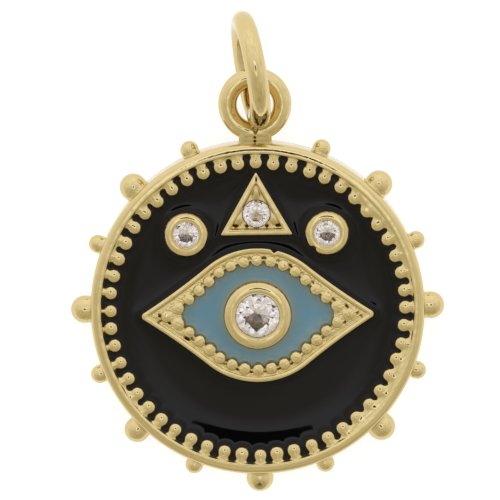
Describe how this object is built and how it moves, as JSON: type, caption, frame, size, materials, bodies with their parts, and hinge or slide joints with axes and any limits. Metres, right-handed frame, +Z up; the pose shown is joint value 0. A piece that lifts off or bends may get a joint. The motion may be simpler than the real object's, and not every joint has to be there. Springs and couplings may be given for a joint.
{
  "type": "evil eye pendant",
  "caption": "Round enamelled medallion with an almond eye, beaded borders, set clear stones and a triangle, on a bail with a jump ring.",
  "frame": {"origin": "middle of the disc's back face, on the surface that the pendant lies on", "axes": "+Z up out of the enamelled face, +Y from the disc's middle to the bail, +X to the right for someone who looks at the face"},
  "size_m": [0.0218, 0.0285, 0.0069],
  "materials": {
    "gold": "pale yellow plating, polished",
    "black_enamel": "glossy",
    "blue_enamel": "glossy",
    "stone": "clear, faceted and polished"
  },
  "bodies": {
    "root": {"medallion": "gold", "black_enamel": "black_enamel", "blue_enamel": "blue_enamel", "centre_stone": "stone", "left_stone": "stone", "right_stone": "stone", "triangle_stone": "stone", "jump_ring": "gold"}
  },
  "joints": []
}
